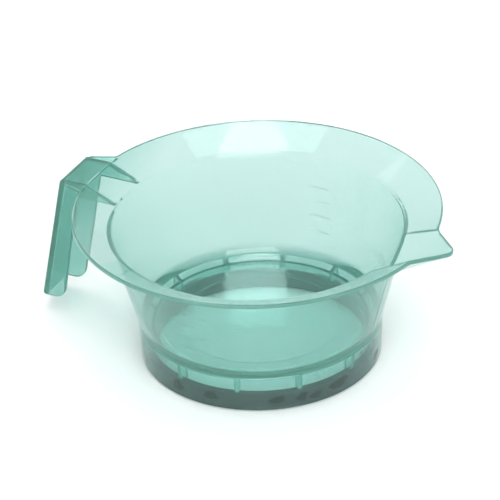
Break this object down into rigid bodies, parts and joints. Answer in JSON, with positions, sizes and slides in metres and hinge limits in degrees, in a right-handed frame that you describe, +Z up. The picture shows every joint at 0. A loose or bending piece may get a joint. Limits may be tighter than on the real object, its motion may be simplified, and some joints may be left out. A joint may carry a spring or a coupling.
{
  "type": "hair color bowl",
  "caption": "Translucent hair tint bowl with a wide sloped rim, a pouring lip, a hooked handle and an anti-slip ring in its base.",
  "frame": {"origin": "on the bowl's axis, on the surface that the bowl stands on", "axes": "+Z up, +X towards the pouring lip, -X towards the handle"},
  "size_m": [0.178, 0.145, 0.0633],
  "materials": {
    "teal_plastic": "translucent milky teal polypropylene, smooth",
    "black_rubber": "black rubber, satin",
    "glue": "clear glue, dark against the black rubber behind it"
  },
  "bodies": {
    "root": {"bowl": "teal_plastic", "anti_slip_ring": "black_rubber", "adhesive_dabs": "glue"}
  },
  "joints": []
}
